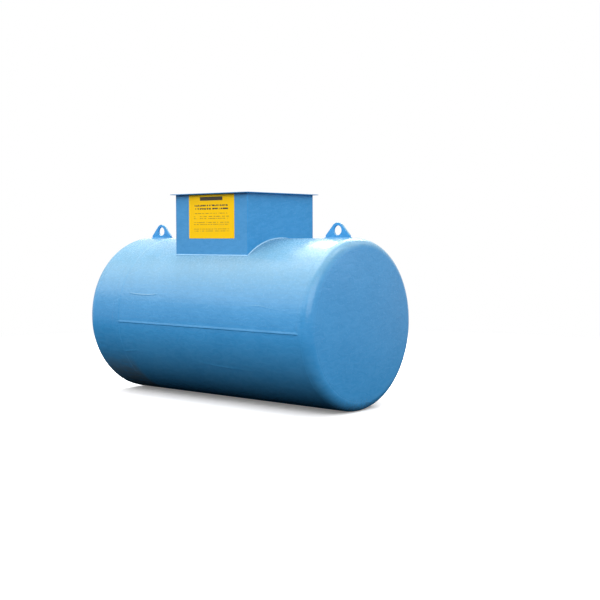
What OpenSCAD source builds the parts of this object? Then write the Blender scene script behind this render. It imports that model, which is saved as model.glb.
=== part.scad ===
// Double wall underground storage tank with a square access well.
//
// A round steel tank lies inside a second steel jacket, and spacer hoops keep
// the two walls apart. The jacket has a long and a short course, each rolled
// from an upper and a lower plate, and two flanged heads. An open well stands
// on the crown round the bolted manway, and two lugs lift the whole tank.
//
// Millimetres. X runs along the tank, Z is up, and the origin is on the ground
// under the middle of the tank. The near end is +X, the left side is -Y.

/* [Outer jacket] */
// Outside diameter of the jacket
jacket_d = 1100; // [900:10:1400]
// Length of the jacket's cylinder, from head weld to head weld
jacket_l = 1892; // [1500:2:2600]
// Thickness of the jacket plate with its coating
jacket_t = 4; // [3:0.5:8]
// Length of the short course at the far end
short_course_l = 226; // [100:2:300]
// Width of the strip under the belly that lies flat on the ground
belly_flat_w = 60; // [20:5:100]
// Depth of the joint between upper and lower plates, below the tank's axis
joint_drop = 22; // [0:1:100]
// Width of the bead along the plate joint, with the coating that covers it
bead_w = 15; // [6:1:30]
// Height of the bead above the jacket
bead_h = 3; // [2:0.5:10]

/* [Heads] */
// Straight flange of each head, up to where its knuckle starts
head_flange = 5; // [2:1:60]
// Outside radius of the knuckle
head_knuckle = 68; // [40:2:120]
// Height of the shallow crown inside the knuckle
head_crown = 25; // [4:1:40]

/* [Inner tank] */
// Free space between the two walls
wall_gap = 8; // [4:1:15]
// Thickness of the inner tank's plate
inner_t = 5; // [3:0.5:8]
// Width of each spacer hoop
hoop_w = 40; // [20:5:80]
// Distance from the head weld to the middle of the outer spacer hoops
hoop_inset = 80; // [40:5:150]

/* [Lifting lugs] */
// Distance from the near head weld to the middle of the near lug
near_lug_inset = 132; // [100:1:250]
// Distance from the far head weld to the middle of the far lug
far_lug_inset = 112; // [100:1:250]
// Thickness of the lug
lug_t = 15; // [8:1:30]
// Length of the lug's foot
lug_foot_l = 195; // [120:5:260]
// Height of the upright step at each end of the foot
lug_step = 18; // [5:1:40]
// Diameter of the shackle hole
lug_hole_d = 62; // [30:1:70]
// Height of the shackle hole's centre above the jacket's crown
lug_hole_h = 51; // [45:1:90]
// Radius of the lug's rounded top
lug_top_r = 50; // [45:1:65]

/* [Access well] */
// Outside width of the square well
well_w = 664; // [560:4:900]
// Height of the well's rim above the jacket's crown
well_h = 300; // [220:5:450]
// Thickness of the well's plates
well_t = 4; // [3:0.5:8]
// How far the folded rim stands out from the wall
rim_w = 28; // [15:1:60]
// Inside radius of the rim's fold
fold_r = 4; // [1:0.5:10]
// Leg of the fillet weld round the foot of the well
foot_weld_leg = 12; // [5:1:20]

/* [Manway] */
// Outside diameter of the neck
neck_d = 420; // [300:5:480]
// Wall thickness of the neck
neck_t = 6; // [4:1:10]
// How far the flange stands out from the neck
flange_w = 60; // [40:1:70]
// Thickness of the flange
flange_t = 12; // [8:1:20]
// Height of the flange's underside above the jacket's crown
flange_h = 60; // [40:5:100]
// Thickness of the gasket
gasket_t = 3; // [2:0.5:5]
// Thickness of the cover plate
cover_t = 10; // [6:1:20]

/* [Fittings] */
// Clearance between the fill pipe and the inside of the neck
fitting_clearance = 27.5; // [10:0.5:40]
// Outside diameter of the fill pipe
fill_d = 89; // [60:1:114]
// Wall thickness of the fill pipe
fill_t = 5; // [3:0.5:8]
// Height of the fill pipe above the cover
fill_h = 90; // [60:5:120]
// Bore of the vent socket
vent_bore = 44; // [30:1:60]
// Bore of the suction socket
suction_bore = 34; // [20:1:45]
// Bore of the return socket
return_bore = 24; // [15:1:35]
// Bore of the level gauge socket
gauge_bore = 56; // [40:1:60]
// Wall thickness of the sockets
socket_t = 7; // [4:1:10]
// Height of the sockets
socket_h = 45; // [30:1:60]
// Bore of the leak monitor's socket on the jacket
monitor_bore = 30; // [15:1:40]
// Clearance between the monitor socket and the well's plates
monitor_clearance = 36; // [20:1:45]

/* [Hidden] */

$fn = 180;
crown_fn = 3600;
slack = 1;

coat_blue = [0.20, 0.50, 0.78];
bare_steel = [0.55, 0.56, 0.58];
primer_grey = [0.42, 0.44, 0.46];
rubber_black = [0.08, 0.08, 0.09];
brass = [0.72, 0.57, 0.27];
zinc = [0.66, 0.68, 0.70];

// Tank: its belly is a little flat where it lies, so the axis sits below half a diameter
axis_z = sqrt(pow(jacket_d / 2, 2) - pow(belly_flat_w / 2, 2));
crown_z = axis_z + jacket_d / 2;
half_l = jacket_l / 2;
joint_z = axis_z - joint_drop;
course_x = short_course_l - half_l;
inner_d = jacket_d - 2 * (jacket_t + wall_gap);

// Heads: the crown is a sphere that is tangent to the knuckle inside
knuckle_r = jacket_d / 2 - head_knuckle;
crown_rise = (pow(knuckle_r, 2) - pow(head_crown, 2)) / (2 * head_crown);
crown_r = crown_rise + head_knuckle + head_crown;

// Well
rim_z = crown_z + well_h;
well_in = well_w / 2 - well_t;
well_out = well_w / 2 + rim_w;
fold_z = rim_z - well_t - fold_r;

// Manway, from the flange's underside up
flange_z = crown_z + flange_h;
gasket_z = flange_z + flange_t;
cover_z = gasket_z + gasket_t;
deck_z = cover_z + cover_t;
flange_d = neck_d + 2 * flange_w;
neck_bore = neck_d - 2 * neck_t;
gasket_margin = 4;

// Fittings: angle of each round the cover, bore and wall
fitting_r = neck_bore / 2 - fitting_clearance - fill_d / 2;
fill_angle = 180;
vent_angle = 98;
suction_angle = 35;
return_angle = -15;
gauge_angle = -85;
cap_wall = 8;
cap_top = 10;
cap_skirt = 28;
cap_lug_h = 14;
monitor_d = monitor_bore + 2 * socket_t;
monitor_xy = well_in - monitor_clearance - monitor_d / 2;
monitor_foot_z = axis_z + sqrt(pow(jacket_d / 2, 2) - pow(monitor_xy, 2));

// Places children, drawn round the Z axis, round the tank's axis
module along_tank() {
    translate([0, 0, axis_z]) rotate([0, 90, 0]) children();
}

// Round bar or tube along the tank from x0 to x1
module tank_tube(d, t, x0, x1) {
    along_tank() translate([0, 0, x0]) difference() {
        cylinder(d = d, h = x1 - x0);
        translate([0, 0, -slack]) cylinder(d = d - 2 * t, h = x1 - x0 + 2 * slack);
    }
}

// Solid cylinder of the given diameter, longer than the well, for saddle cuts
module saddle(d) {
    along_tank() translate([0, 0, -half_l]) cylinder(d = d, h = jacket_l);
}

// Everything above, or below, the joint between upper and lower plates
module above_joint() {
    translate([-jacket_l, -jacket_d, joint_z]) cube([2 * jacket_l, 2 * jacket_d, 2 * jacket_d]);
}
module below_joint() {
    translate([-jacket_l, -jacket_d, 0]) cube([2 * jacket_l, 2 * jacket_d, joint_z]);
}

// Everything above the ground that the belly lies on
module above_ground() {
    translate([-jacket_l, -jacket_d, 0]) cube([2 * jacket_l, 2 * jacket_d, 2 * jacket_d]);
}

module long_course() {
    tank_tube(jacket_d, jacket_t, course_x, half_l);
}
module short_course() {
    tank_tube(jacket_d, jacket_t, -half_l, course_x);
}

module outer_shell_upper() {
    color(coat_blue) difference() {
        intersection() { long_course(); above_joint(); }
        translate([0, 0, axis_z]) cylinder(d = neck_d, h = jacket_d);
        translate([-monitor_xy, -monitor_xy, axis_z]) cylinder(d = monitor_bore, h = jacket_d);
    }
}
module outer_shell_lower() {
    color(coat_blue) intersection() { long_course(); below_joint(); }
}
module end_course_upper() {
    color(coat_blue) intersection() { short_course(); above_joint(); }
}
module end_course_lower() {
    color(coat_blue) intersection() { short_course(); below_joint(); }
}

// Half section of everything inside a head whose skin is moved in by inset
module head_area(inset, start) {
    top = head_flange + head_knuckle + head_crown;
    translate([0, start]) square([jacket_d / 2 - inset, head_flange - start]);
    intersection() {
        translate([knuckle_r, head_flange]) circle(r = head_knuckle - inset);
        square([jacket_d, top]);
    }
    intersection() {
        translate([0, head_flange - crown_rise]) circle(r = crown_r - inset, $fn = crown_fn);
        translate([0, head_flange - slack]) square([knuckle_r, top]);
        polygon([[0, head_flange - crown_rise],
                 [2 * knuckle_r, head_flange + crown_rise],
                 [0, head_flange + crown_rise]]);
    }
}

// Flanged head on the +X end: its skin is moved in by inset and t thick
module head(inset, t) {
    along_tank() translate([0, 0, half_l]) rotate_extrude() difference() {
        head_area(inset, 0);
        head_area(inset + t, -slack);
    }
}
module outer_head() {
    color(coat_blue) intersection() { head(0, jacket_t); above_ground(); }
}
module inner_head() {
    color(primer_grey) head(jacket_t + wall_gap, inner_t);
}

// Weld bead along the plate joint on both sides of the long course
module shell_seam_beads() {
    bead_y = sqrt(pow(jacket_d / 2, 2) - pow(joint_drop, 2));
    bead_r = (pow(bead_w / 2, 2) + pow(bead_h, 2)) / (2 * bead_h);
    color(coat_blue) for (side = [0, 1]) mirror([0, side, 0])
        translate([course_x, 0, axis_z]) rotate([90, 0, 90])
            linear_extrude(half_l - course_x) difference() {
                translate([bead_y + bead_h - bead_r, -joint_drop]) circle(r = bead_r, $fn = 64);
                circle(d = jacket_d, $fn = crown_fn);
            }
}

module inner_shell() {
    color(primer_grey) difference() {
        tank_tube(inner_d, inner_t, -half_l, half_l);
        translate([0, 0, axis_z]) cylinder(d = neck_bore, h = jacket_d);
    }
}

module spacer_hoops() {
    outer_x = half_l - hoop_inset;
    color(bare_steel) for (x = [-outer_x, -outer_x / 2, outer_x / 2, outer_x])
        tank_tube(inner_d + 2 * wall_gap, wall_gap, x - hoop_w / 2, x + hoop_w / 2);
}

// Side view of a lug: a foot with upright steps, and flanks tangent to its top
module lug_outline() {
    reach = lug_foot_l / 2;
    drop = lug_hole_h - lug_step;
    tangent_angle = acos(lug_top_r / norm([reach, drop])) - atan2(drop, reach);
    tip = lug_top_r * [cos(tangent_angle), sin(tangent_angle)];
    polygon([[-reach, 0], [reach, 0], [reach, lug_step],
             [tip[0], lug_hole_h + tip[1]], [-tip[0], lug_hole_h + tip[1]],
             [-reach, lug_step]]);
    translate([0, lug_hole_h]) circle(r = lug_top_r);
}

// Lug whose middle stands in from the +X head weld
module lifting_lug(inset) {
    color(coat_blue) difference() {
        translate([half_l - inset, lug_t / 2, crown_z]) rotate([90, 0, 0])
            linear_extrude(lug_t) difference() {
                lug_outline();
                translate([0, lug_hole_h]) circle(d = lug_hole_d);
            }
        saddle(jacket_d);
    }
}

// Section of a well plate with its folded rim: x is outwards from the wall's inside
module wall_section() {
    polygon([[0, axis_z], [well_t, axis_z], [well_t, fold_z], [0, fold_z]]);
    intersection() {
        translate([well_t + fold_r, fold_z]) difference() {
            circle(r = fold_r + well_t);
            circle(r = fold_r);
        }
        translate([0, fold_z]) square(fold_r + well_t);
    }
    translate([well_t + fold_r, rim_z - well_t]) square([rim_w - fold_r, well_t]);
}

// Everything above the axis on the well's +X side, up to the mitres at its corners
module well_side() {
    reach = well_out + foot_weld_leg;
    translate([0, 0, axis_z]) linear_extrude(rim_z)
        polygon([[0, 0], [reach, -reach], [reach, reach]]);
}

// Well plate on the +X side, mitred at both corners, turned by angle
module well_wall(angle) {
    color(coat_blue) difference() {
        rotate([0, 0, angle]) intersection() {
            translate([well_in, well_out, 0]) rotate([90, 0, 0])
                linear_extrude(2 * well_out) wall_section();
            well_side();
        }
        saddle(jacket_d);
    }
}

// Fillets where the end plates stand on the jacket: rings round the tank, mitred
module well_end_welds() {
    foot = well_w / 2;
    color(coat_blue) for (turn = [0, 180]) rotate([0, 0, turn]) intersection() {
        along_tank() rotate_extrude() polygon([
            [jacket_d / 2, foot], [jacket_d / 2 + foot_weld_leg, foot],
            [jacket_d / 2, foot + foot_weld_leg]]);
        well_side();
    }
}

// Fillets where the side plates stand on the jacket: straight along the tank, mitred
module well_side_welds() {
    foot = well_w / 2;
    toe = foot + foot_weld_leg;
    color(coat_blue) for (turn = [90, 270]) rotate([0, 0, turn]) intersection() {
        translate([0, toe, axis_z]) rotate([90, 0, 0]) linear_extrude(2 * toe) difference() {
            polygon([
                [foot, 0], [toe, 0],
                [toe, sqrt(pow(jacket_d / 2, 2) - pow(toe, 2))],
                [foot, sqrt(pow(jacket_d / 2 + foot_weld_leg, 2) - pow(foot, 2))]]);
            circle(d = jacket_d, $fn = crown_fn);
        }
        well_side();
    }
}

// Upright tube standing on z, open at both ends
module upright_tube(d, bore, h) {
    difference() {
        cylinder(d = d, h = h);
        translate([0, 0, -slack]) cylinder(d = bore, h = h + 2 * slack);
    }
}

module manway_neck() {
    color(coat_blue) difference() {
        translate([0, 0, axis_z]) upright_tube(neck_d, neck_bore, gasket_z - axis_z);
        saddle(inner_d);
    }
}
module manway_flange() {
    color(coat_blue) translate([0, 0, flange_z]) upright_tube(flange_d, neck_d, flange_t);
}
module manway_gasket() {
    color(rubber_black) translate([0, 0, gasket_z])
        upright_tube(flange_d - 2 * gasket_margin, neck_bore, gasket_t);
}

// Moves children to a fitting's place on the cover, at the given height
module at_fitting(angle, z) {
    translate([fitting_r * cos(angle), fitting_r * sin(angle), z]) children();
}

module manway_cover() {
    bores = [[fill_angle, fill_d - 2 * fill_t], [vent_angle, vent_bore],
             [suction_angle, suction_bore], [return_angle, return_bore],
             [gauge_angle, gauge_bore]];
    color(coat_blue) difference() {
        translate([0, 0, cover_z]) cylinder(d = flange_d, h = cover_t);
        for (b = bores) at_fitting(b[0], cover_z - slack)
            cylinder(d = b[1], h = cover_t + 2 * slack);
    }
}

// Plain threaded socket on the cover
module socket(angle, bore) {
    color(zinc) at_fitting(angle, deck_z) upright_tube(bore + 2 * socket_t, bore, socket_h);
}

module fill_pipe() {
    color(zinc) at_fitting(fill_angle, deck_z) upright_tube(fill_d, fill_d - 2 * fill_t, fill_h);
}

// Screw cap over a pipe or socket end, with two wrench lugs on top
module cap(d, top_z) {
    grip = d / 2;
    translate([0, 0, top_z - cap_skirt]) upright_tube(d + 2 * cap_wall, d, cap_skirt);
    translate([0, 0, top_z]) cylinder(d = d + 2 * cap_wall, h = cap_top);
    for (side = [-1, 1])
        translate([side * grip / 2 - cap_lug_h / 2, -grip / 2, top_z + cap_top - slack])
            cube([cap_lug_h, grip, cap_lug_h + slack]);
}
module fill_cap() {
    color(brass) at_fitting(fill_angle, 0) cap(fill_d, deck_z + fill_h);
}
module gauge_cap() {
    color(brass) at_fitting(gauge_angle, 0) cap(gauge_bore + 2 * socket_t, deck_z + socket_h);
}

// Leak monitor's socket, set on the jacket in a corner of the well
module monitor_socket() {
    color(zinc) difference() {
        translate([-monitor_xy, -monitor_xy, axis_z])
            upright_tube(monitor_d, monitor_bore, monitor_foot_z - axis_z + socket_h);
        saddle(jacket_d);
    }
}

// Hexagon head plug that closes the monitor socket
module monitor_plug() {
    plug_depth = 20;
    head_h = 14;
    color(brass) translate([-monitor_xy, -monitor_xy, monitor_foot_z + socket_h]) {
        translate([0, 0, -plug_depth]) cylinder(d = monitor_bore, h = plug_depth);
        cylinder(d = monitor_d, h = head_h, $fn = 6);
    }
}

// Draws the far end's copy of a part that is modelled at the near end
module far_end() {
    mirror([1, 0, 0]) children();
}

outer_shell_upper();
outer_shell_lower();
end_course_upper();
end_course_lower();
outer_head();  // outer_head_near
far_end() outer_head();  // outer_head_far
shell_seam_beads();
inner_shell();
inner_head();  // inner_head_near
far_end() inner_head();  // inner_head_far
spacer_hoops();
lifting_lug(near_lug_inset);  // lifting_lug_near
far_end() lifting_lug(far_lug_inset);  // lifting_lug_far
well_wall(0);  // well_wall_near
well_wall(90);  // well_wall_right
well_wall(180);  // well_wall_far
well_wall(270);  // well_wall_left
well_end_welds();
well_side_welds();
manway_neck();
manway_flange();
manway_gasket();
manway_cover();
fill_pipe();
fill_cap();
socket(vent_angle, vent_bore);  // vent_socket
socket(suction_angle, suction_bore);  // suction_socket
socket(return_angle, return_bore);  // return_socket
socket(gauge_angle, gauge_bore);  // gauge_socket
gauge_cap();
monitor_socket();
monitor_plug();
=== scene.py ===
"""Finishes, small parts and studio of the double wall underground tank.

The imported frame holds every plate, pipe and cap. This script dresses each of
them, adds the bolts, weld beads, coating joints and the blank sign, and sets
up a plain studio round the tank. Lengths are in metres, in the row frame.
"""

from __future__ import annotations

import logging
import math
import random
from collections.abc import Callable, Mapping, Sequence
from dataclasses import dataclass
from enum import Enum
from typing import Any

import bmesh
import bpy
from mathutils import Matrix, Quaternion, Vector


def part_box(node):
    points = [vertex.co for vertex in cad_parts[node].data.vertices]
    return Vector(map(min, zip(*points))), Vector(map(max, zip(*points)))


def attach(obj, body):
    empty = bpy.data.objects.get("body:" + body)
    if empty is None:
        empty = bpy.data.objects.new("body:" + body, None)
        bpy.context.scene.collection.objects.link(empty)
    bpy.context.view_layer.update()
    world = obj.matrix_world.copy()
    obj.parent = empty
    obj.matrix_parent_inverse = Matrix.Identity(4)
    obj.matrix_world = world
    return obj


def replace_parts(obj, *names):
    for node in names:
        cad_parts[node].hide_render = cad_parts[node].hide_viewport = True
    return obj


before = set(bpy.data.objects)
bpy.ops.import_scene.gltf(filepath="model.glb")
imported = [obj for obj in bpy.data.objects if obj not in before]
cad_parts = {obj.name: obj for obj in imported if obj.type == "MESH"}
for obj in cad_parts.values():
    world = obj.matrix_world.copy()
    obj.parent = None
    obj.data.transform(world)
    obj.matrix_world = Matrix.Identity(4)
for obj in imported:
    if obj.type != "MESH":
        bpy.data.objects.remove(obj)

logging.basicConfig(level=logging.INFO, format="%(message)s")
LOG = logging.getLogger("tank")

Colour = tuple[float, float, float]
Point2 = tuple[float, float]
Point3 = tuple[float, float, float]
Placed = tuple[Vector, Vector]
Socket = bpy.types.NodeSocket
MM = 0.001
SEED = 20


def polar(radius: float, angle: float, z: float = 0.0) -> Vector:
    """A point at a radius and an angle, in radians, round the Z axis."""
    return Vector((radius * math.cos(angle), radius * math.sin(angle), z))


class Slot(Enum):
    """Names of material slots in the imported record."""

    COATING = "blue_coating"
    ZINC = "zinc_fittings"


# ---------------- shader graph


class Value:
    """A number in a shader, whose arithmetic adds Math nodes."""

    def __init__(self, graph: Graph, socket: Socket) -> None:
        """Wraps an output socket of a graph that carries a number."""
        self.graph = graph
        self.socket = socket

    def maths(self, operation: str, *others: Value | float) -> Value:
        """Adds one Math node with this value as its first input.

        Args:
            operation: Name of the Math node's operation.
            others: The node's other inputs, in order.

        Returns:
            The node's result.
        """
        inputs = dict(enumerate((self, *others)))
        node = self.graph.node("ShaderNodeMath", {"operation": operation}, inputs)
        return Value(self.graph, node.outputs[0])

    def __add__(self, other: Value | float) -> Value:
        """Sum."""
        return self.maths("ADD", other)

    __radd__ = __add__

    def __sub__(self, other: Value | float) -> Value:
        """Difference."""
        return self.maths("SUBTRACT", other)

    def __rsub__(self, other: float) -> Value:
        """Difference with this value taken away."""
        return self.maths("MULTIPLY", -1.0) + other

    def __mul__(self, other: Value | float) -> Value:
        """Product."""
        return self.maths("MULTIPLY", other)

    __rmul__ = __mul__

    def __abs__(self) -> Value:
        """Size without its sign."""
        return self.maths("ABSOLUTE")

    def largest(self, other: Value | float) -> Value:
        """The larger of two values."""
        return self.maths("MAXIMUM", other)

    def ramp(self, low: float, high: float, start: float = 0.0, end: float = 1.0) -> Value:
        """Maps this value smoothly from one range to another.

        Args:
            low: Value at which the result is start.
            high: Value at which the result is end.
            start: Result at or below low.
            end: Result at or above high.

        Returns:
            The mapped value, held between start and end.
        """
        inputs = {0: self, 1: low, 2: high, 3: start, 4: end}
        settings = {"interpolation_type": "SMOOTHSTEP"}
        node = self.graph.node("ShaderNodeMapRange", settings, inputs)
        return Value(self.graph, node.outputs[0])


class Graph:
    """The shader graph of one finish."""

    def __init__(self, tree: bpy.types.NodeTree) -> None:
        """Empties the node tree of a material or of the world, to fill it anew."""
        self.tree = tree
        self.tree.nodes.clear()

    def node(
        self, kind: str, settings: Mapping[str, Any] | None = None,
        inputs: Mapping[str | int, Any] | None = None,
    ) -> bpy.types.Node:
        """Adds one node.

        Args:
            kind: Type name of the node.
            settings: Properties, which are set before the inputs.
            inputs: Values or sockets by input name or number.

        Returns:
            The new node.
        """
        made = self.tree.nodes.new(kind)
        for name, value in (settings or {}).items():
            setattr(made, name, value)
        for name, value in (inputs or {}).items():
            if isinstance(value, Value):
                value = value.socket
            if isinstance(value, Socket):
                self.tree.links.new(value, made.inputs[name])
            else:
                made.inputs[name].default_value = value
        return made

    def place(self) -> Socket:
        """Position on the tank, in metres."""
        return self.node("ShaderNodeTexCoord").outputs["Object"]

    def axes(self, vector: Socket) -> tuple[Value, Value, Value]:
        """Splits a vector into its three numbers."""
        split = self.node("ShaderNodeSeparateXYZ", {}, {0: vector})
        return tuple(Value(self, out) for out in split.outputs)

    def facing(self) -> Value:
        """How far the surface faces up, from -1 to 1."""
        normal = self.node("ShaderNodeNewGeometry").outputs["True Normal"]
        return self.axes(normal)[2]

    def ray(self, kind: str) -> Value:
        """1 for rays of one kind, 0 for all others."""
        return Value(self, self.node("ShaderNodeLightPath").outputs[kind])

    def shown(self) -> Value:
        """1 for rays that show the surroundings, 0 for rays that light the tank."""
        mirrored, through = self.ray("Is Glossy Ray"), self.ray("Is Transmission Ray")
        return self.ray("Is Camera Ray").largest(mirrored).largest(through)

    def scaled(self, vector: Socket, by: Point3) -> Socket:
        """Multiplies a vector by another, axis by axis."""
        node = self.node("ShaderNodeVectorMath", {"operation": "MULTIPLY"}, {0: vector, 1: by})
        return node.outputs[0]

    def noise(
        self, place: Socket, size: float, detail: float = 2.0, roughness: float = 0.5,
        distortion: float = 0.0,
    ) -> Value:
        """Soft random pattern between 0 and 1.

        Args:
            place: Position to look the pattern up at.
            size: Size of its largest spots, in metres.
            detail: Number of finer layers added to it.
            roughness: Strength of the finer layers.
            distortion: How far the spots are drawn out into swirls.

        Returns:
            The pattern.
        """
        inputs = {"Vector": place, "Scale": 1.0 / size, "Detail": detail,
                  "Roughness": roughness, "Distortion": distortion}
        node = self.node("ShaderNodeTexNoise", {"noise_dimensions": "3D"}, inputs)
        return Value(self, node.outputs[0])

    def blend(
        self, factor: Value | float, first: Socket | Colour, second: Socket | Colour
    ) -> Socket:
        """Mixes two colours.

        Args:
            factor: Share of the second colour.
            first: Colour at factor 0.
            second: Colour at factor 1.

        Returns:
            The mixed colour.
        """
        pair = [c if isinstance(c, Socket) else (*c, 1.0) for c in (first, second)]
        inputs = {0: factor, 6: pair[0], 7: pair[1]}
        return self.node("ShaderNodeMix", {"data_type": "RGBA"}, inputs).outputs[2]

    def relief(self, height: Value) -> Socket:
        """Turns a height in metres into a surface normal."""
        bump = self.node("ShaderNodeBump", {}, {"Strength": 1.0, "Distance": 1.0, "Height": height})
        return bump.outputs[0]

    def surface(self, dull: Value | None = None, **inputs: Any) -> None:
        """Ends the graph in a Principled shader.

        Args:
            dull: Where the surface has lost its gloss, from 0 to 1.
            inputs: Inputs of the shader, with _ for each space in their names.
        """
        named = {name.replace("_", " "): value for name, value in inputs.items()}
        shader = self.node("ShaderNodeBsdfPrincipled", {}, named)
        if dull is not None:
            named |= {"Roughness": 0.9, "Specular IOR Level": 0.0}
            matt = self.node("ShaderNodeBsdfPrincipled", {}, named)
            both = {0: dull, 1: shader.outputs[0], 2: matt.outputs[0]}
            shader = self.node("ShaderNodeMixShader", {}, both)
        self.node("ShaderNodeOutputMaterial", {}, {"Surface": shader.outputs[0]})


def blank_material(name: str) -> tuple[bpy.types.Material, Graph]:
    """Makes a material with an empty graph.

    Args:
        name: Name of the material.

    Returns:
        The material and its graph.
    """
    made = bpy.data.materials.new(name)
    made.use_nodes = True
    return made, Graph(made.node_tree)


class Finish:
    """A finish that is made into a material once and then shared."""

    made: dict[str, bpy.types.Material] = {}

    def draw(self, graph: Graph) -> None:
        """Fills the graph of the finish.

        Args:
            graph: Empty graph of its material.
        """
        raise NotImplementedError

    def material(self) -> bpy.types.Material:
        """The finish as a material.

        Returns:
            The material, the same one at each call.
        """
        name = type(self).__name__.lower() + "_finish"
        if name not in self.made:
            self.made[name], graph = blank_material(name)
            self.draw(graph)
        return self.made[name]


@dataclass(frozen=True)
class Coating(Finish):
    """Thick glossy blue polyester coating over steel.

    Attributes:
        colour: Blue of a clean, evenly laid coat.
        thin: Blue where the coat is laid thinner.
        faded: Greyer blue on surfaces that face up, partly sun bleaching and partly a painted sheen
            that pales the highlights.
        skinned: Pale blue of the fibres' backs.
        dust: Pale film on surfaces that face up, partly settled dirt and partly a painted sheen that
            whitens the highlights.
        low_speck_colour: Near-black blended in, in specks, close to the floor.
        moss: Green film low on the far end.
        gloss: Share of the light its skin mirrors.
    """

    colour: Colour = (0.041, 0.260, 0.568)
    thin: Colour = (0.050, 0.284, 0.605)
    faded: Colour = (0.108, 0.268, 0.400)
    skinned: Colour = (0.180, 0.520, 0.900)
    dust: Colour = (0.42, 0.53, 0.62)
    low_speck_colour: Colour = (0.050, 0.048, 0.042)
    moss: Colour = (0.150, 0.150, 0.100)
    gloss: float = 0.27

    def draw(self, graph: Graph) -> None:
        """Orange peel, curled fibres and soft lumps under a glossy skin."""
        place = graph.place()
        along, _, height_above = graph.axes(place)
        up = graph.facing()
        lumps = graph.noise(place, 0.22, 1.0)
        waves = graph.noise(graph.scaled(place, (1.0, 2.6, 2.6)), 0.085, 2.0, 0.5, 0.4)
        turned = {"Vector": place, "Rotation": (0.22, 0.0, 0.0), "Scale": (1.8, 2.4, 0.9)}
        drawn = graph.node("ShaderNodeMapping", {"vector_type": "TEXTURE"}, turned).outputs[0]
        fibres = graph.noise(drawn, 0.030, 1.0, 0.5, 1.0)
        peel = graph.noise(place, 0.0045, 1.0)
        patches = graph.noise(place, 0.30, 4.0, 0.6)
        specks = graph.noise(place, 0.012, 2.0, 0.7)
        blue = graph.blend(patches.ramp(0.35, 0.68, 0.1, 0.9), self.colour, self.thin)
        # Upward faces turn a greyer blue: partly bleaching, partly a painted sheen on the
        # highlights.
        blue = graph.blend(up.ramp(-0.10, 0.75), blue, self.faded)
        # Pale film on upward faces: partly settled dirt, partly a painted sheen on the highlights.
        film = up.ramp(0.25, 1.0) * patches.ramp(0.30, 0.75, 0.05, 0.17)
        blue = graph.blend(film, blue, self.dust)
        blue = graph.blend(fibres.ramp(0.32, 0.68, 0.0, 0.07), blue, self.skinned)
        # Near-black specks blended in close to the floor, stronger towards the bottom.
        low_specks = height_above.ramp(0.12, 0.0) * specks.ramp(0.48, 0.62) * 0.5
        blue = graph.blend(low_specks, blue, self.low_speck_colour)
        damp = along.ramp(-0.60, -0.68) * height_above.ramp(0.34, 0.10)
        blue = graph.blend(damp * waves.ramp(0.2, 0.6, 0.2, 0.55), blue, self.moss)
        curl = up.ramp(-0.30, 0.85, 1.40 * MM, 0.85 * MM)
        relief = lumps * (1.4 * MM) + waves * (0.60 * MM) + fibres * curl + peel * (0.008 * MM)
        graph.surface(
            Base_Color=blue,
            Roughness=specks.ramp(0.3, 0.7, 0.20, 0.28) + film * 0.3 + low_specks * 0.4,
            IOR=1.50,
            Specular_IOR_Level=self.gloss,
            Normal=graph.relief(relief),
            dull=up.ramp(0.05, -0.14),
        )


@dataclass(frozen=True)
class WellSideCoating(Coating):
    """The same coating on the well's side plates, a little duller."""

    colour: Colour = (0.059, 0.260, 0.543)
    thin: Colour = (0.067, 0.282, 0.578)
    gloss: float = 0.14


@dataclass(frozen=True)
class WellEndShadedCoating(Coating):
    """The same coating on the well's end plates, a little deeper in blue as painted shade on these
    plates.
    """

    colour: Colour = (0.036, 0.235, 0.500)
    thin: Colour = (0.044, 0.257, 0.535)
    gloss: float = 0.14


@dataclass(frozen=True)
class FilletHighlightCoating(Coating):
    """The same coating on the well's foot welds, in a paler blue that paints the highlight along
    their backs.
    """

    colour: Colour = (0.16, 0.44, 0.72)
    thin: Colour = (0.18, 0.46, 0.75)
    faded: Colour = (0.26, 0.46, 0.62)


@dataclass(frozen=True)
class Primer(Finish):
    """Matt grey primer, brushed on.

    Attributes:
        colour: Grey of the primer.
        worn: Grey where the brush left it thin.
    """

    colour: Colour = (0.27, 0.29, 0.31)
    worn: Colour = (0.17, 0.17, 0.17)

    def draw(self, graph: Graph) -> None:
        """Brush marks along the tank over a matt ground."""
        place = graph.place()
        marks = graph.noise(graph.scaled(place, (0.15, 1.0, 1.0)), 0.006, 3.0, 0.6)
        patches = graph.noise(place, 0.12, 3.0, 0.6)
        graph.surface(
            Base_Color=graph.blend(patches.ramp(0.5, 0.8), self.colour, self.worn),
            Roughness=marks.ramp(0.2, 0.8, 0.55, 0.78),
            Normal=graph.relief(marks * (0.10 * MM)),
        )


@dataclass(frozen=True)
class MillSteel(Finish):
    """Rolled strip steel with mill scale and a little rust.

    Attributes:
        colour: Blue grey of the scale.
        rust: Brown of the rust spots.
    """

    colour: Colour = (0.30, 0.31, 0.33)
    rust: Colour = (0.22, 0.085, 0.03)

    def draw(self, graph: Graph) -> None:
        """Scale with rust where it has flaked."""
        place = graph.place()
        flakes = graph.noise(place, 0.03, 5.0, 0.65)
        rusty = flakes.ramp(0.56, 0.66)
        graph.surface(
            Base_Color=graph.blend(rusty, self.colour, self.rust),
            Metallic=rusty.ramp(0.0, 1.0, 0.85, 0.1),
            Roughness=flakes.ramp(0.3, 0.7, 0.38, 0.75),
            Normal=graph.relief(flakes * (0.20 * MM)),
        )


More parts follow.
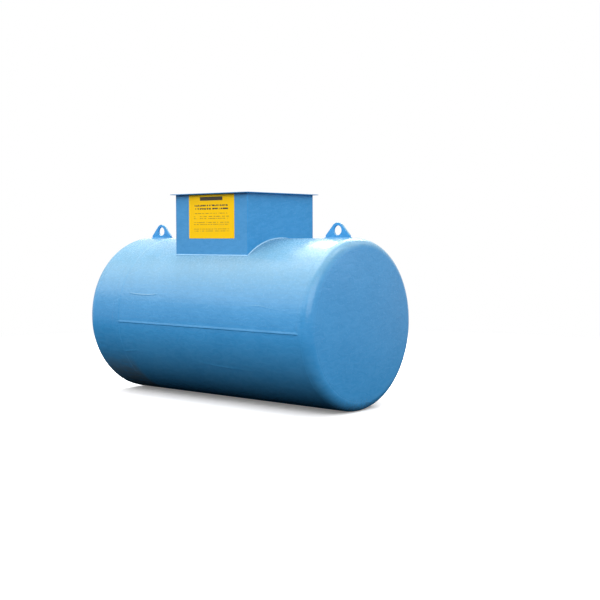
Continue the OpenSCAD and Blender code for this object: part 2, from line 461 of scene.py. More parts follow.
@dataclass(frozen=True)
class Rubber(Finish):
    """Black sheet rubber with a bloom of dust.

    Attributes:
        colour: Black of the rubber.
        bloom: Grey of the dust.
    """

    colour: Colour = (0.014, 0.014, 0.015)
    bloom: Colour = (0.09, 0.09, 0.085)

    def draw(self, graph: Graph) -> None:
        """Fine pressed grain with dust in its hollows."""
        place = graph.place()
        grain = graph.noise(place, 0.0018, 2.0)
        dusty = graph.noise(place, 0.05, 3.0).ramp(0.45, 0.75, 0.0, 0.5)
        graph.surface(
            Base_Color=graph.blend(dusty, self.colour, self.bloom),
            Roughness=grain.ramp(0.3, 0.7, 0.70, 0.88),
            Normal=graph.relief(grain * (0.06 * MM)),
        )


@dataclass(frozen=True)
class Brass(Finish):
    """Cast brass, tarnished in its hollows.

    Attributes:
        colour: Yellow of the clean metal.
        tarnish: Brown of the tarnish.
    """

    colour: Colour = (0.70, 0.47, 0.17)
    tarnish: Colour = (0.25, 0.15, 0.055)

    def draw(self, graph: Graph) -> None:
        """Sand cast grain under uneven tarnish."""
        place = graph.place()
        cast = graph.noise(place, 0.0016, 2.0, 0.6)
        dull = graph.noise(place, 0.028, 4.0, 0.6).ramp(0.40, 0.70)
        graph.surface(
            Base_Color=graph.blend(dull, self.colour, self.tarnish),
            Metallic=1.0,
            Roughness=dull.ramp(0.0, 1.0, 0.27, 0.55) + cast * 0.08,
            Normal=graph.relief(cast * (0.10 * MM)),
        )


@dataclass(frozen=True)
class Zinc(Finish):
    """Galvanised steel with its spangle.

    Attributes:
        light: Brightest spangle.
        dark: Dullest spangle.
        chalk: White bloom that weather leaves.
    """

    light: Colour = (0.62, 0.64, 0.66)
    dark: Colour = (0.42, 0.44, 0.46)
    chalk: Colour = (0.55, 0.56, 0.56)

    def draw(self, graph: Graph) -> None:
        """Crystal spangle with patches of chalk."""
        place = graph.place()
        crystals = graph.node("ShaderNodeTexVoronoi", {}, {"Vector": place, "Scale": 160.0})
        tone = graph.axes(crystals.outputs["Color"])[0]
        chalky = graph.noise(place, 0.035, 4.0, 0.6).ramp(0.52, 0.72)
        metal = graph.blend(tone, self.dark, self.light)
        graph.surface(
            Base_Color=graph.blend(chalky * 0.7, metal, self.chalk),
            Metallic=chalky.ramp(0.0, 1.0, 1.0, 0.35),
            Roughness=tone * 0.16 + 0.30 + chalky * 0.25,
            Normal=graph.relief(graph.noise(place, 0.004, 2.0) * (0.05 * MM)),
        )


@dataclass(frozen=True)
class SignSheet(Finish):
    """Yellow enamelled sheet with blank ruled lines.

    Attributes:
        left: Lowest x of the sheet.
        foot: Lowest z of the sheet.
        width: Width of the sheet.
        height: Height of the sheet.
        yellow: Ground colour.
        ink: Colour of the ruled lines.
    """

    left: float
    foot: float
    width: float
    height: float
    yellow: Colour = (0.90, 0.540, 0.0)
    ink: Colour = (0.055, 0.050, 0.035)

    def draw(self, graph: Graph) -> None:
        """Rows of ruled lines, broken here and there, on a slightly dusty ground."""
        place = graph.place()
        x, _, z = graph.axes(place)
        across = (x - self.left) * (1.0 / self.width)
        down = (self.foot + self.height - z) * (1.0 / self.height)
        beside = abs(across - 0.5)
        broken = graph.noise(graph.scaled(place, (1.0, 0.0, 0.35)), 0.011, 1.0)
        ink = self.rows(down, beside, (0.095,), 0.042, 0.25)
        words = broken.ramp(0.44, 0.50)
        ink = ink.largest(self.rows(down, beside, (0.25, 0.325), 0.018, 0.37) * words)
        lines = (0.43, 0.50, 0.545, 0.635, 0.68, 0.785, 0.83)
        ink = ink.largest(self.rows(down, beside, lines, 0.008, 0.39) * words * 0.62)
        wear = graph.noise(place, 0.05, 4.0, 0.65)
        ground = graph.blend(wear.ramp(0.5, 0.8, 0.0, 0.10), self.yellow, (0.60, 0.45, 0.12))
        graph.surface(
            Base_Color=graph.blend(ink, ground, self.ink),
            Roughness=wear.ramp(0.3, 0.7, 0.36, 0.52),
            Specular_IOR_Level=0.15,
            Normal=graph.relief(graph.noise(place, 0.05, 2.0) * (0.25 * MM)),
        )

    @staticmethod
    def rows(down: Value, beside: Value, at: Sequence[float], half: float, reach: float) -> Value:
        """Ruled rows of one height and length.

        Args:
            down: Share of the sheet's height below its top edge.
            beside: Share of the width away from the middle.
            at: Middles of the rows, as shares of the height.
            half: Half the height of a row.
            reach: Half the length of a row.

        Returns:
            1 on the rows and 0 between them.
        """
        inside = beside.ramp(reach - 0.004, reach + 0.004, 1.0, 0.0)
        rows = None
        for middle in at:
            row = abs(down - middle).ramp(half - 0.002, half + 0.002, 1.0, 0.0)
            rows = row if rows is None else rows.largest(row)
        return rows * inside


# ---------------- mesh building


def linked(name: str, data: bpy.types.ID) -> bpy.types.Object:
    """Makes an object and puts it into the scene.

    Args:
        name: Name of the object.
        data: Its mesh, light or camera.

    Returns:
        The object.
    """
    made = bpy.data.objects.new(name, data)
    bpy.context.scene.collection.objects.link(made)
    return made


def piece_of(name: str, mesh: bmesh.types.BMesh) -> bpy.types.Object:
    """Makes a finished mesh into an object.

    Args:
        name: Name of the object.
        mesh: Its mesh, which is freed.

    Returns:
        The object.
    """
    data = bpy.data.meshes.new(name)
    mesh.to_mesh(data)
    mesh.free()
    return linked(name, data)


class Shape:
    """A mesh that is built ring by ring, in the row frame."""

    def __init__(self, name: str) -> None:
        """Starts an empty mesh for a piece of that name."""
        self.name = name
        self.mesh = bmesh.new()

    def loft(self, rings: Sequence[Sequence[Vector]], closed: bool = False) -> None:
        """Joins rings of equally many points into a skin.

        Args:
            rings: Points of each ring, in order along the skin.
            closed: Whether the last ring joins up with the first. If not, both are capped.
        """
        grid = [[self.mesh.verts.new(p) for p in ring] for ring in rings]
        count = len(grid[0])
        pairs = list(zip(grid, grid[1:]))
        if closed:
            pairs.append((grid[-1], grid[0]))
        for low, high in pairs:
            for i in range(count):
                j = (i + 1) % count
                self.mesh.faces.new((low[i], low[j], high[j], high[i]))
        if not closed:
            self.mesh.faces.new(list(reversed(grid[0])))
            self.mesh.faces.new(grid[-1])

    def turned(self, profile: Sequence[Point2], at: Matrix, steps: int = 48) -> None:
        """Turns a profile round the Z axis of a placing.

        Args:
            profile: Radius and height of each point, in order.
            at: Placing of the axis.
            steps: Number of points round it.
        """
        rings = [[at @ polar(radius, math.tau * i / steps, height) for i in range(steps)]
                 for radius, height in profile]
        self.loft(rings, closed=True)

    def done(self, finish: Finish, slot: Slot | None, angle: float = 35.0) -> bpy.types.Object:
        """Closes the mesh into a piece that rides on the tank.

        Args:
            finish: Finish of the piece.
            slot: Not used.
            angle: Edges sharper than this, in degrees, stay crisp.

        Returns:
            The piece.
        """
        bmesh.ops.recalc_face_normals(self.mesh, faces=self.mesh.faces)
        piece = piece_of(self.name, self.mesh)
        piece.data.shade_smooth()
        piece.data.set_sharp_from_angle(angle=math.radians(angle))
        piece.data.materials.append(finish.material())
        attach(piece, "root")
        LOG.info("piece %s: %d faces", self.name, len(piece.data.polygons))
        return piece


@dataclass(frozen=True)
class Bead:
    """A strip with a rounded section, swept along a path.

    Attributes:
        half_width: Half its width.
        height: Its height above the surface.
        sink: How deep its edges lie below the surface.
        ripple: Height of the ripples along it.
        pitch: Distance between ripples.
        points: Points across it.
        flat: Share of its width that stays at full height.
        crest: Where its highest line lies, from -1 at one edge to 1 at the other.
    """

    half_width: float
    height: float
    sink: float = 0.4 * MM
    ripple: float = 0.0
    pitch: float = 5 * MM
    points: int = 9
    flat: float = 0.0
    crest: float = 0.0

    def sweep(
        self, shape: Shape, placed: Sequence[Placed], closed: bool = False,
        fade: Callable[[float], float] | None = None,
    ) -> None:
        """Adds the strip to a mesh.

        Args:
            shape: Mesh that takes the strip.
            placed: Points along the surface, with the outward direction at each.
            closed: Whether the path joins up with itself.
            fade: Height of the strip, as a share, by share of the path.
        """
        chance = random.Random(SEED)
        path = [point for point, _ in placed]
        count = len(path)
        run = 0.0
        rings = []
        for i, (point, normal) in enumerate(placed):
            before = path[i - 1] if i or closed else path[0]
            after = path[(i + 1) % count] if i < count - 1 or closed else path[-1]
            side = (after - before).cross(normal).normalized()
            run += (point - before).length
            share = fade(i / (count - 1)) if fade else 1.0
            wave = self.ripple * abs(math.sin(math.pi * run / self.pitch))
            size = (self.height + wave + self.ripple * chance.uniform(-0.3, 0.3)) * share
            rings.append([point + side * (u * self.half_width) + normal * (v * size - self.sink)
                          for u, v in self.section()])
        shape.loft(rings, closed)

    def section(self) -> list[Point2]:
        """Section across the strip: a rounded top over a flat foot.

        Returns:
            Points across it, as shares of its half width and of its height.
        """
        line = []
        for i in range(self.points):
            t = -1.0 + 2.0 * i / (self.points - 1)
            slope = max(0.0, (abs(t) - self.flat) / (1.0 - self.flat))
            u = self.crest + t * (1.0 - self.crest if t > 0 else 1.0 + self.crest)
            line.append((u, 0.5 + 0.5 * math.cos(math.pi * slope)))
        line[0] = (-1.0, 0.0)
        line[-1] = (1.0, 0.0)
        return line + [(0.6, -0.05), (-0.6, -0.05)]


# ---------------- the tank


@dataclass
class Tank:
    """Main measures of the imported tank, read from its boxes."""

    radius: float = 0.0
    axis: float = 0.0
    head_weld: float = 0.0
    course: float = 0.0

    def __post_init__(self) -> None:
        """Reads the boxes of the jacket's plates."""
        low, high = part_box("outer_shell_upper")
        self.radius = max(high.y, -low.y)
        self.axis = high.z - self.radius
        self.head_weld = high.x
        self.course = low.x

    def skin(self, x: float, angle: float) -> Placed:
        """A point on the jacket and the direction outwards there.

        Args:
            x: Place along the tank.
            angle: Degrees from the crown, towards the left side (-Y).

        Returns:
            The point and the outward direction.
        """
        turn = math.radians(angle)
        out = Vector((0.0, -math.sin(turn), math.cos(turn)))
        return Vector((x, 0.0, self.axis)) + out * self.radius, out

    def over(self, x: float, y: float) -> Placed:
        """The point on the jacket's upper half over a place, and the direction outwards there."""
        return self.skin(x, -math.degrees(math.asin(y / self.radius)))


@dataclass
class Jacket:
    """The jacket's coating joints and creases, and the finish of its plates."""

    tank: Tank
    end_band: Bead = Bead(17 * MM, 1.5 * MM, points=17, flat=0.78)
    course_band: Bead = Bead(34 * MM, 2.2 * MM, points=17, flat=0.85)
    seam: Bead = Bead(11 * MM, 3.0 * MM, points=15, crest=0.6)
    near_band_inset: float = 6 * MM
    band_steps: int = 240
    fade_from: float = 128.0
    fade_to: float = 158.0
    seam_raise: float = 0.4
    seam_steps: int = 420
    seam_ends: float = 160.0
    crease_half: float = 7 * MM
    crease_steps: int = 14
    creases: Sequence[tuple[float, Sequence[Point2]]] = (
        (2.6, ((-0.61, 71.0), (-0.52, 71.9), (-0.41, 71.9), (-0.31, 71.0))),
        (2.2, ((-0.85, 115.5), (-0.73, 115.1), (-0.62, 114.0), (-0.50, 112.8))),
        (1.6, ((-0.07, 117.3), (0.05, 117.6), (0.16, 119.4), (0.29, 120.2), (0.42, 120.6),
               (0.58, 121.2))),
        (0.8, ((0.43, 76.2), (0.52, 76.3), (0.60, 75.5), (0.73, 77.2), (0.85, 78.1))),
    )

    def build(self) -> None:
        """Builds the joint bands, the creases and the raised joints."""
        self.band("joint_band_near", self.tank.head_weld - self.near_band_inset, self.end_band)
        self.band("joint_band_mid", self.tank.course, self.course_band)
        self.band("joint_band_far", -self.tank.head_weld, self.end_band)
        shape = Shape("coating_creases")
        for height, knots in self.creases:
            self.crease(shape, Bead(self.crease_half, height * MM, crest=0.6), knots)
        shape.done(Coating(), Slot.COATING)
        self.seams()

    def seams(self) -> None:
        """Builds the raised joint along each side, where the upper half laps over the lower."""
        low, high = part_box("shell_seam_beads")
        level = (low.z + high.z) / 2
        angle = math.degrees(math.acos((level - self.tank.axis) / self.tank.radius))
        angle -= self.seam_raise
        shape = Shape("seam_laps")
        for side, start, end in ((1, low.x, high.x), (-1, high.x, low.x)):
            placed = [self.tank.skin(start + (end - start) * i / self.seam_steps, side * angle)
                      for i in range(self.seam_steps + 1)]
            self.seam.sweep(shape, placed,
                            fade=lambda s: min(1.0, self.seam_ends * min(s, 1.0 - s)))
        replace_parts(shape.done(Coating(), Slot.COATING), "shell_seam_beads")

    def band(self, name: str, x: float, strip: Bead) -> None:
        """Builds one raised band round the jacket.

        Args:
            name: Name of the piece.
            x: Place along the tank.
            strip: Section of the band.
        """
        reach, steps = self.fade_to, self.band_steps

        def fade(share: float) -> float:
            """Height of the band, as a share, by share of its path."""
            angle = abs(-reach + 2 * reach * share)
            t = min(1.0, max(0.0, (reach - angle) / (reach - self.fade_from)))
            return t * t * (3 - 2 * t)

        shape = Shape(name)
        placed = [self.tank.skin(x, -reach + 2 * reach * i / steps) for i in range(steps + 1)]
        strip.sweep(shape, placed, fade=fade)
        shape.done(Coating(), Slot.COATING)

    def crease(self, shape: Shape, strip: Bead, knots: Sequence[Point2]) -> None:
        """Adds one crease of the coating.

        Args:
            shape: Mesh that takes the crease.
            strip: Section of the crease.
            knots: Place along the tank and angle of a few points on it.
        """
        placed = []
        for (x, angle), (next_x, next_angle) in zip(knots, knots[1:]):
            for i in range(self.crease_steps):
                t = i / self.crease_steps
                here = (x + (next_x - x) * t, angle + (next_angle - angle) * t)
                placed.append(self.tank.skin(*here))
        placed.append(self.tank.skin(*knots[-1]))
        strip.sweep(shape, placed, fade=lambda s: math.sin(math.pi * s) ** 0.6)

    def dress(self) -> None:
        """Gives every blue plate its coating."""
        coat(Coating(), "outer_shell_upper", "outer_shell_lower", "end_course_upper",
             "end_course_lower", "outer_head_near", "outer_head_far")
        soften(0.5 * MM, "outer_head_near", "outer_head_far")
        even_out("outer_head_near", "outer_head_far")


def coat(finish: Finish, *names: str) -> None:
    """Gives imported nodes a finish.

    Args:
        finish: The finish.
        names: Names of the nodes.
    """
    for name in names:
        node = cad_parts[name]
        node.data.materials.clear()
        node.data.materials.append(finish.material())
        LOG.info("node %s: %s", name, type(finish).__name__)


def soften(width: float, *names: str) -> None:
    """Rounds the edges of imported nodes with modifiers.

    Args:
        width: Width of the rounding.
        names: Names of the nodes.
    """
    for name in names:
        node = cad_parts[name]
        weld = node.modifiers.new("weld", "WELD")
        weld.merge_threshold = 0.01 * MM
        bevel = node.modifiers.new("bevel", "BEVEL")
        bevel.width = width
        bevel.segments = 3
        bevel.limit_method = "ANGLE"
        bevel.angle_limit = math.radians(40)
        bevel.harden_normals = True


def even_out(*names: str) -> None:
    """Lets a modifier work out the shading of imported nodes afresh, so that their middles are even.

    Args:
        names: Names of the nodes.
    """
    for name in names:
        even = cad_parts[name].modifiers.new("even", "WEIGHTED_NORMAL")
        even.mode = "FACE_AREA_WITH_ANGLE"
        even.weight = 50


@dataclass
class Lugs:
    """The two lifting lugs with the welds round their feet."""

    tank: Tank
    weld: Bead = Bead(8 * MM, 6.5 * MM, ripple=0.7 * MM, pitch=6 * MM)
    weld_inset: float = 1.5 * MM
    weld_step: float = 2 * MM
    weld_lean: float = 0.6
    corner_turn: float = 4 * MM

    def build(self) -> None:
        """Builds the weld round the foot of each lug."""
        for end in ("near", "far"):
            shape = Shape("lug_weld_" + end)
            self.weld.sweep(shape, self.loop(*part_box("lifting_lug_" + end)), closed=True)
            shape.done(Coating(), Slot.COATING)

    def loop(self, low: Vector, high: Vector) -> list[Placed]:
        """Path of the weld round a lug's foot.

        Args:
            low: Lowest corner of the lug's box.
            high: Highest corner of the lug's box.

        Returns:
            Points on the jacket, with the outward direction at each.
        """
        half_l = (high.x - low.x) / 2 + self.weld_inset
        half_t = (high.y - low.y) / 2 + self.weld_inset
        middle = (high.x + low.x) / 2
        corners = [(-half_l, -half_t), (half_l, -half_t), (half_l, half_t), (-half_l, half_t)]
        placed = []
        for a, b in zip(corners, corners[1:] + corners[:1]):
            count = max(2, round(math.dist(a, b) / self.weld_step))
            for i in range(count):
                x, y = (a[k] + (b[k] - a[k]) * i / count for k in (0, 1))
                point, _ = self.tank.over(middle + x, y)
                straight = math.copysign(min(abs(x), half_l - self.corner_turn), x)
                lean = Vector((x - straight, y, 0.0)).normalized() * self.weld_lean
                placed.append((point, (Vector((0.0, 0.0, 1.0)) + lean).normalized()))
        return placed

    def dress(self) -> None:
        """Coats the lugs and rounds their edges."""
        coat(Coating(), "lifting_lug_near", "lifting_lug_far")
        soften(1.8 * MM, "lifting_lug_near", "lifting_lug_far")


@dataclass
class Well:
    """The square access well with its corner beads and its blank sign."""

    tank: Tank
    sign_left: float = -0.205
    sign_width: float = 0.420
    sign_height: float = 0.292
    sign_thick: float = 0.8 * MM
    sign_corner: float = 6 * MM
    sign_steps: int = 6
    rim_fold: float = 8 * MM
    corner_bead: Bead = Bead(3.2 * MM, 1.4 * MM, sink=1.1 * MM)
    corner_steps: int = 60
    weld: Bead = Bead(6 * MM, 4.2 * MM, ripple=0.35 * MM, pitch=6 * MM, points=13, flat=0.55)
    weld_leg: float = 12 * MM
    weld_steps: int = 330

    def build(self) -> None:
        """Builds the corner beads, the foot welds and the sign."""
        self.corners()
        self.foot_welds()
        self.sign()

    def corners(self) -> None:
        """Builds the rounded bead down each outer corner of the well."""
        outer, steps = self.outer(), self.corner_steps
        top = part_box("well_wall_near")[1].z - self.rim_fold
        foot = self.tank.axis + math.sqrt(self.tank.radius ** 2 - outer ** 2)
        levels = [foot + (top - foot) * i / steps for i in range(steps + 1)]
        shape = Shape("well_corner_beads")
        for sx in (-1, 1):
            for sy in (-1, 1):
                out = Vector((sx, sy, 0.0)).normalized()
                placed = [(Vector((sx * outer, sy * outer, z)), out) for z in levels]
                self.corner_bead.sweep(shape, placed)
        shape.done(Coating(), Slot.COATING)

    def foot_welds(self) -> None:
        """Builds the welds at the foot of the plates, in place of the plain fillets."""
        outer, steps = self.outer(), self.weld_steps
        along = [outer * (2 * i / steps - 1) for i in range(steps + 1)]
        ends, sides = Shape("foot_welds_ends"), Shape("foot_welds_sides")
        for sign in (-1, 1):
            out = Vector((sign, 0.0, 0.0))
            self.weld.sweep(ends, [self.in_corner(sign * outer, y, out) for y in along])
            out = Vector((0.0, sign, 0.0))
            self.weld.sweep(sides, [self.in_corner(x, sign * outer, out) for x in along])
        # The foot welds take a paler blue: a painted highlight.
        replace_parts(ends.done(FilletHighlightCoating(), Slot.COATING), "well_end_welds")
        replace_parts(sides.done(FilletHighlightCoating(), Slot.COATING), "well_side_welds")

    def in_corner(self, x: float, y: float, out: Vector) -> Placed:
        """A point where a plate that faces out meets the jacket, and the way out of that corner."""
        point, up = self.tank.over(x, y)
        return point, (up + out).normalized()

    def outer(self) -> float:
        """Distance from the tank's middle to the outside of a well plate."""
        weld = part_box("well_end_welds")[1].x
        return min(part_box("well_wall_near")[1].x, weld - self.weld_leg)

    def sign(self) -> None:
        """Builds the yellow sheet on the left side of the well."""
        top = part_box("well_wall_left")[1].z - self.rim_fold
        face = -self.outer()
        left, right = self.sign_left, self.sign_left + self.sign_width
        foot = top - self.sign_height
        finish = SignSheet(left, foot, self.sign_width, self.sign_height)
        corner = self.sign_corner
        outline: list[Point2] = []
        for cx, cz, start in (
            (right - corner, top - corner, 0),
            (left + corner, top - corner, 90),
            (left + corner, foot + corner, 180),
            (right - corner, foot + corner, 270),
        ):
            for i in range(self.sign_steps + 1):
                turn = math.radians(start + 90 * i / self.sign_steps)
                outline.append((cx + corner * math.cos(turn), cz + corner * math.sin(turn)))
        shape = Shape("sign_sheet")
        middle = Vector(((left + right) / 2, 0.0, (top + foot) / 2))
        rings = []
        for depth, shrink in ((0.0, 0.0), (0.6, 0.0), (1.0, 0.3 * MM)):
            ring = []
            for x, z in outline:
                inward = (middle - Vector((x, 0.0, z))).normalized() * shrink
                ring.append(Vector((x, face - self.sign_thick * depth, z)) + inward)
            rings.append(ring)
        shape.loft(rings)
        shape.done(finish, None)

    def dress(self) -> None:
        """Coats the plates of the well."""
        coat(WellSideCoating(), "well_wall_left", "well_wall_right")
        # The end plates take a darker blue: painted shade.
        coat(WellEndShadedCoating(), "well_wall_near", "well_wall_far")


@dataclass
class Manway:
    """The bolted manway with its fittings."""

    tank: Tank
    bolts: int = 20
    across_flats: float = 24 * MM
    head_height: float = 10 * MM
    nut_height: float = 13 * MM
    washer_radius: float = 15 * MM
    washer_height: float = 2.5 * MM
    shank: float = 8 * MM
    thread_out: float = 6 * MM
    thread_pitch: float = 2 * MM
    thread_depth: float = 0.9 * MM
    neck_weld: Bead = Bead(7 * MM, 6 * MM, ripple=0.8 * MM, pitch=7 * MM)
    neck_lean: float = 0.7
    neck_steps: int = 420
    socket_weld: Bead = Bead(3.5 * MM, 3 * MM, ripple=0.4 * MM, pitch=4 * MM)
    socket_lean: float = 0.8
    socket_step: float = 2 * MM
    sockets: Sequence[str] = (
        "fill_pipe", "vent_socket", "suction_socket", "return_socket", "gauge_socket"
    )

    def build(self) -> None:
        """Builds the bolts and the welds of the neck and the sockets."""
        self.fasteners()
        self.welds()

    def circle(self) -> float:
        """Radius of the bolt circle, halfway across the flange."""
        return (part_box("manway_cover")[1].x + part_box("manway_neck")[1].x) / 2 + 2 * MM

    def fasteners(self) -> None:
        """Builds every bolt with its washers and nut."""
        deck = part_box("manway_cover")[1].z
        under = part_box("manway_flange")[0].z
        chance = random.Random(SEED)
        shape = Shape("manway_bolts")
        for i in range(self.bolts):
            spot = polar(self.circle(), math.tau * (i + 0.5) / self.bolts)
            up = (Matrix.Translation((spot.x, spot.y, deck))
                  @ Matrix.Rotation(chance.uniform(0, 6.3), 4, "Z"))
            down = (Matrix.Translation((spot.x, spot.y, under)) @ Matrix.Rotation(math.pi, 4, "X")
                    @ Matrix.Rotation(chance.uniform(0, 6.3), 4, "Z"))
            for place, tall in ((up, self.head_height), (down, self.nut_height)):
                self.washer(shape, place)
                self.hexagon(shape, place, tall)
            self.thread(shape, down)
        shape.done(Zinc(), Slot.ZINC, 30.0)

    def washer(self, shape: Shape, at: Matrix) -> None:
        """Adds one washer."""
        r, h, e = self.washer_radius, self.washer_height, 0.4 * MM
        shape.turned([(self.shank, 0), (r, 0), (r, h - e), (r - e, h), (self.shank, h)], at, 32)

    def hexagon(self, shape: Shape, at: Matrix, tall: float) -> None:
        """Adds one hexagon with its chamfered top.

        Args:
            shape: Mesh that takes it.
            at: Placing of its foot.
            tall: Its height.
        """
        slope = math.radians(30)
        apothem = self.across_flats / 2
        corner = apothem / math.cos(slope)
        chamfer = corner - apothem * 0.95
        rings = []
        for share in (0.0, 0.25, 0.5, 0.75, 1.0, 1.01):
            level = tall - chamfer * math.tan(slope) * (1 - share) if share else 0.0
            limit = corner - chamfer * min(share, 1.0)
            if share > 1.0:
                level, limit = tall, apothem * 0.7
            ring = []
            for k in range(24):
                angle = math.tau * k / 24
                edge = apothem / math.cos((angle % (math.pi / 3)) - math.pi / 6)
                ring.append(at @ polar(min(edge, limit), angle, self.washer_height + level))
            rings.append(ring)
        shape.loft(rings)

    def thread(self, shape: Shape, at: Matrix) -> None:
        """Adds the threaded end that stands out of a nut.

        Args:
            shape: Mesh that takes it.
            at: Placing of the nut's foot.
        """
        foot = level = self.washer_height + self.nut_height - 1 * MM
        profile = [(1 * MM, foot)]
        while level < foot + self.thread_out:
            root = (self.shank - self.thread_depth, level + self.thread_pitch / 2)
            profile += [(self.shank, level), root]
            level += self.thread_pitch
        profile += [(1 * MM, level)]
        shape.turned(profile, at, 24)

    def welds(self) -> None:
        """Builds the weld round the neck's foot and those of the sockets."""
        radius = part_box("manway_neck")[1].x + 1.5 * MM
        placed = []
        for i in range(self.neck_steps):
            out = polar(1.0, math.tau * i / self.neck_steps)
            point, up = self.tank.over(out.x * radius, out.y * radius)
            placed.append((point, (up + out * self.neck_lean).normalized()))
        shape = Shape("neck_weld")
        self.neck_weld.sweep(shape, placed, closed=True)
        shape.done(Coating(), Slot.COATING)
        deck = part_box("manway_cover")[1].z
        shape = Shape("socket_welds")
        for name in self.sockets:
            low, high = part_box(name)
            middle, reach = (low + high) / 2, (high.x - low.x) / 2 + 1 * MM
            middle.z = deck
            count = round(math.tau * reach / self.socket_step)
            outs = [polar(1.0, math.tau * i / count) for i in range(count)]
            up = Vector((0, 0, 1))
            placed = [(middle + out * reach, (up + out * self.socket_lean).normalized())
                      for out in outs]
            self.socket_weld.sweep(shape, placed, closed=True)
        shape.done(Coating(), Slot.COATING)

    def dress(self) -> None:
        """Finishes the manway and its fittings."""
        coat(Coating(), "manway_neck", "manway_flange", "manway_cover")
        soften(1.2 * MM, "manway_flange", "manway_cover")
        coat(Rubber(), "manway_gasket")
        coat(Zinc(), *self.sockets, "monitor_socket")
        coat(Brass(), "fill_cap", "gauge_cap", "monitor_plug")
        soften(1.5 * MM, "fill_cap", "gauge_cap", "monitor_plug")


@dataclass
class InnerTank:
    """The inner tank and the hoops that hold it, closed in by the jacket."""

    def dress(self) -> None:
        """Finishes the inner plates and the hoops."""
        coat(Primer(), "inner_shell", "inner_head_near", "inner_head_far")
        even_out("inner_head_near", "inner_head_far")
        coat(MillSteel(), "spacer_hoops")


# ---------------- studio


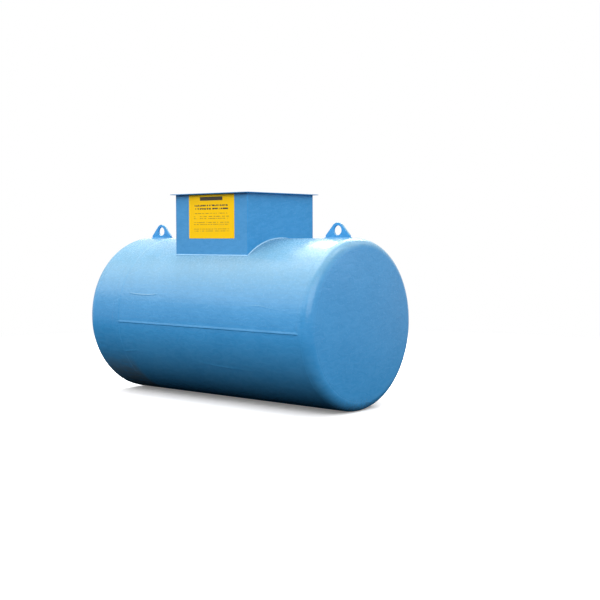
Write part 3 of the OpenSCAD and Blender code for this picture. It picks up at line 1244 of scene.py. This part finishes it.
@dataclass
class Studio:
    """Plain studio: pale floor, white surroundings, soft lamps and the camera."""

    floor_radius: float = 60.0
    floor_steps: int = 96
    floor_fade: Point2 = (2.6, 5.5)
    floor_dark: float = 0.03
    floor_pale: float = 0.92
    floor_glow: float = 0.18
    skirt_radius: float = 12.0
    skirt_height: float = 4.6
    skirt_span: Point2 = (-30.0, 78.0)
    skirt_steps: int = 40
    skirt_level: float = 0.03
    sky_level: float = 0.67
    lens: float = 64.106
    azimuth: float = 39.959
    elevation: float = 3.434
    roll: float = -0.160
    stand: Point3 = (5.0260, -5.4093, 1.1147)
    aim: Point3 = (0.0, 0.0, 0.7)
    lamps: Sequence[tuple[str, float, float, float, Point2, float]] = (
        ("front", 48.0, 28.0, 9.0, (8.0, 6.0), 4.1),
        ("left", 305.0, 36.0, 9.0, (7.0, 6.5), 1.85),
        ("top", 300.0, 72.0, 9.0, (6.0, 5.0), 5.1),
        ("high", 228.0, 62.0, 9.0, (5.0, 4.0), 4.8),
        ("glint", 226.0, 36.0, 7.5, (1.7, 2.0), 13.0),
        ("back", 198.0, 38.0, 9.0, (3.5, 2.6), 8.5),
        ("edge", 119.0, 60.0, 9.0, (2.4, 2.0), 7.0),
        ("middle", 349.0, 36.0, 9.0, (6.0, 5.0), 1.6),
        ("side", 124.0, 14.0, 9.0, (3.8, 3.2), 1.5),
        ("right", 145.0, 38.0, 9.0, (5.0, 3.5), 1.7),
    )

    def build(self) -> None:
        """Builds the whole studio."""
        view = bpy.context.scene.view_settings
        view.view_transform = "Standard"
        self.surroundings()
        self.floor()
        self.skirt()
        for lamp in self.lamps:
            self.lamp(*lamp)
        self.camera()

    def surroundings(self) -> None:
        """Sets the white surroundings."""
        world = bpy.data.worlds.new("surroundings")
        world.use_nodes = True
        bpy.context.scene.world = world
        graph = Graph(world.node_tree)
        colour = graph.blend(graph.shown(), (self.sky_level,) * 3, (1.0, 1.0, 1.0))
        back = graph.node("ShaderNodeBackground", {}, {"Color": colour, "Strength": 1.0})
        graph.node("ShaderNodeOutputWorld", {}, {"Surface": back.outputs[0]})

    def floor(self) -> None:
        """Builds the pale floor, which stays dark for the light it sends back."""
        mesh = bmesh.new()
        mesh.faces.new([
            mesh.verts.new(polar(self.floor_radius, math.tau * i / self.floor_steps))
            for i in range(self.floor_steps)
        ])
        piece = piece_of("studio_floor", mesh)
        made, graph = blank_material("floor_finish")
        seen, shown = graph.ray("Is Camera Ray"), graph.shown()
        colour = graph.blend(shown, (self.floor_dark,) * 3, (self.floor_pale,) * 3)
        x, y, _ = graph.axes(graph.place())
        start, end = self.floor_fade
        far = (x * x + y * y).ramp(start ** 2, end ** 2) * shown
        far = far.largest(shown - seen)
        matt = graph.node("ShaderNodeBsdfDiffuse", {}, {"Color": colour})
        glow = self.glow(graph, seen * self.floor_glow)
        both = graph.node("ShaderNodeAddShader", {}, {0: matt.outputs[0], 1: glow})
        faded = graph.node("ShaderNodeMixShader", {},
                           {0: far, 1: both.outputs[0], 2: self.glow(graph, 1.0)})
        graph.node("ShaderNodeOutputMaterial", {}, {"Surface": faded.outputs[0]})
        piece.data.materials.append(made)

    @staticmethod
    def glow(graph: Graph, level: Value | float) -> Socket:
        """Adds white light of a level, where 1 is white."""
        inputs = {"Color": (1, 1, 1, 1), "Strength": level}
        return graph.node("ShaderNodeEmission", {}, inputs).outputs[0]

    def skirt(self) -> None:
        """Builds the dark cloth in an arc behind the camera."""
        mesh = bmesh.new()
        rows = []
        start, end = self.skirt_span
        for i in range(self.skirt_steps + 1):
            azimuth = start + (end - start) * i / self.skirt_steps
            foot = self.direction(azimuth, 0.0) * self.skirt_radius
            rows.append([mesh.verts.new((foot.x, foot.y, level))
                         for level in (0.0, self.skirt_height)])
        for left, right in zip(rows, rows[1:]):
            mesh.faces.new((left[0], left[1], right[1], right[0]))
        piece = piece_of("studio_skirt", mesh)
        made, graph = blank_material("skirt_finish")
        glow = self.glow(graph, self.skirt_level)
        graph.node("ShaderNodeOutputMaterial", {}, {"Surface": glow})
        piece.data.materials.append(made)
        piece.visible_camera = False
        piece.visible_shadow = False

    def lamp(
        self, name: str, azimuth: float, elevation: float, away: float, size: Point2, level: float
    ) -> None:
        """Sets up one soft lamp that faces the tank.

        Args:
            name: Name of the lamp.
            azimuth: Degrees round the tank, 0 on the left side and 90 at the near end.
            elevation: Degrees above the floor.
            away: Distance from the tank.
            size: Width and height of its face.
            level: Brightness of its face, where 1 is white.
        """
        data = bpy.data.lights.new(name, "AREA")
        data.shape = "RECTANGLE"
        data.size, data.size_y = size
        data.energy = level * math.pi * size[0] * size[1]
        lamp = linked(name, data)
        back = self.direction(azimuth, elevation)
        lamp.location = Vector(self.aim) + back * away
        lamp.rotation_mode = "QUATERNION"
        lamp.rotation_quaternion = (-back).to_track_quat("-Z", "Y")

    @staticmethod
    def direction(azimuth: float, elevation: float) -> Vector:
        """Direction from the tank towards an azimuth and elevation, in degrees."""
        a, e = math.radians(azimuth), math.radians(elevation)
        return Vector((math.sin(a) * math.cos(e), -math.cos(a) * math.cos(e), math.sin(e)))

    def camera(self) -> None:
        """Sets up the camera."""
        data = bpy.data.cameras.new("camera")
        data.sensor_width = 36.0
        data.lens = self.lens
        data.clip_end = 200.0
        camera = linked("camera", data)
        back = self.direction(self.azimuth, self.elevation)
        right = self.direction(self.azimuth + 90.0, 0.0)
        up = back.cross(right)
        turn = Matrix((right, up, back)).transposed().to_quaternion()
        camera.rotation_mode = "QUATERNION"
        camera.rotation_quaternion = turn @ Quaternion((0.0, 0.0, 1.0), math.radians(self.roll))
        camera.location = self.stand
        bpy.context.scene.camera = camera


def main() -> None:
    """Builds and dresses the tank, then the studio."""
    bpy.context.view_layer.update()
    tank = Tank()
    jacket, lugs, well, manway = Jacket(tank), Lugs(tank), Well(tank), Manway(tank)
    for part in (jacket, lugs, well, manway):
        part.build()
        part.dress()
        LOG.info("built %s", type(part).__name__)
    InnerTank().dress()
    Studio().build()


if __name__ == "__main__":
    main()
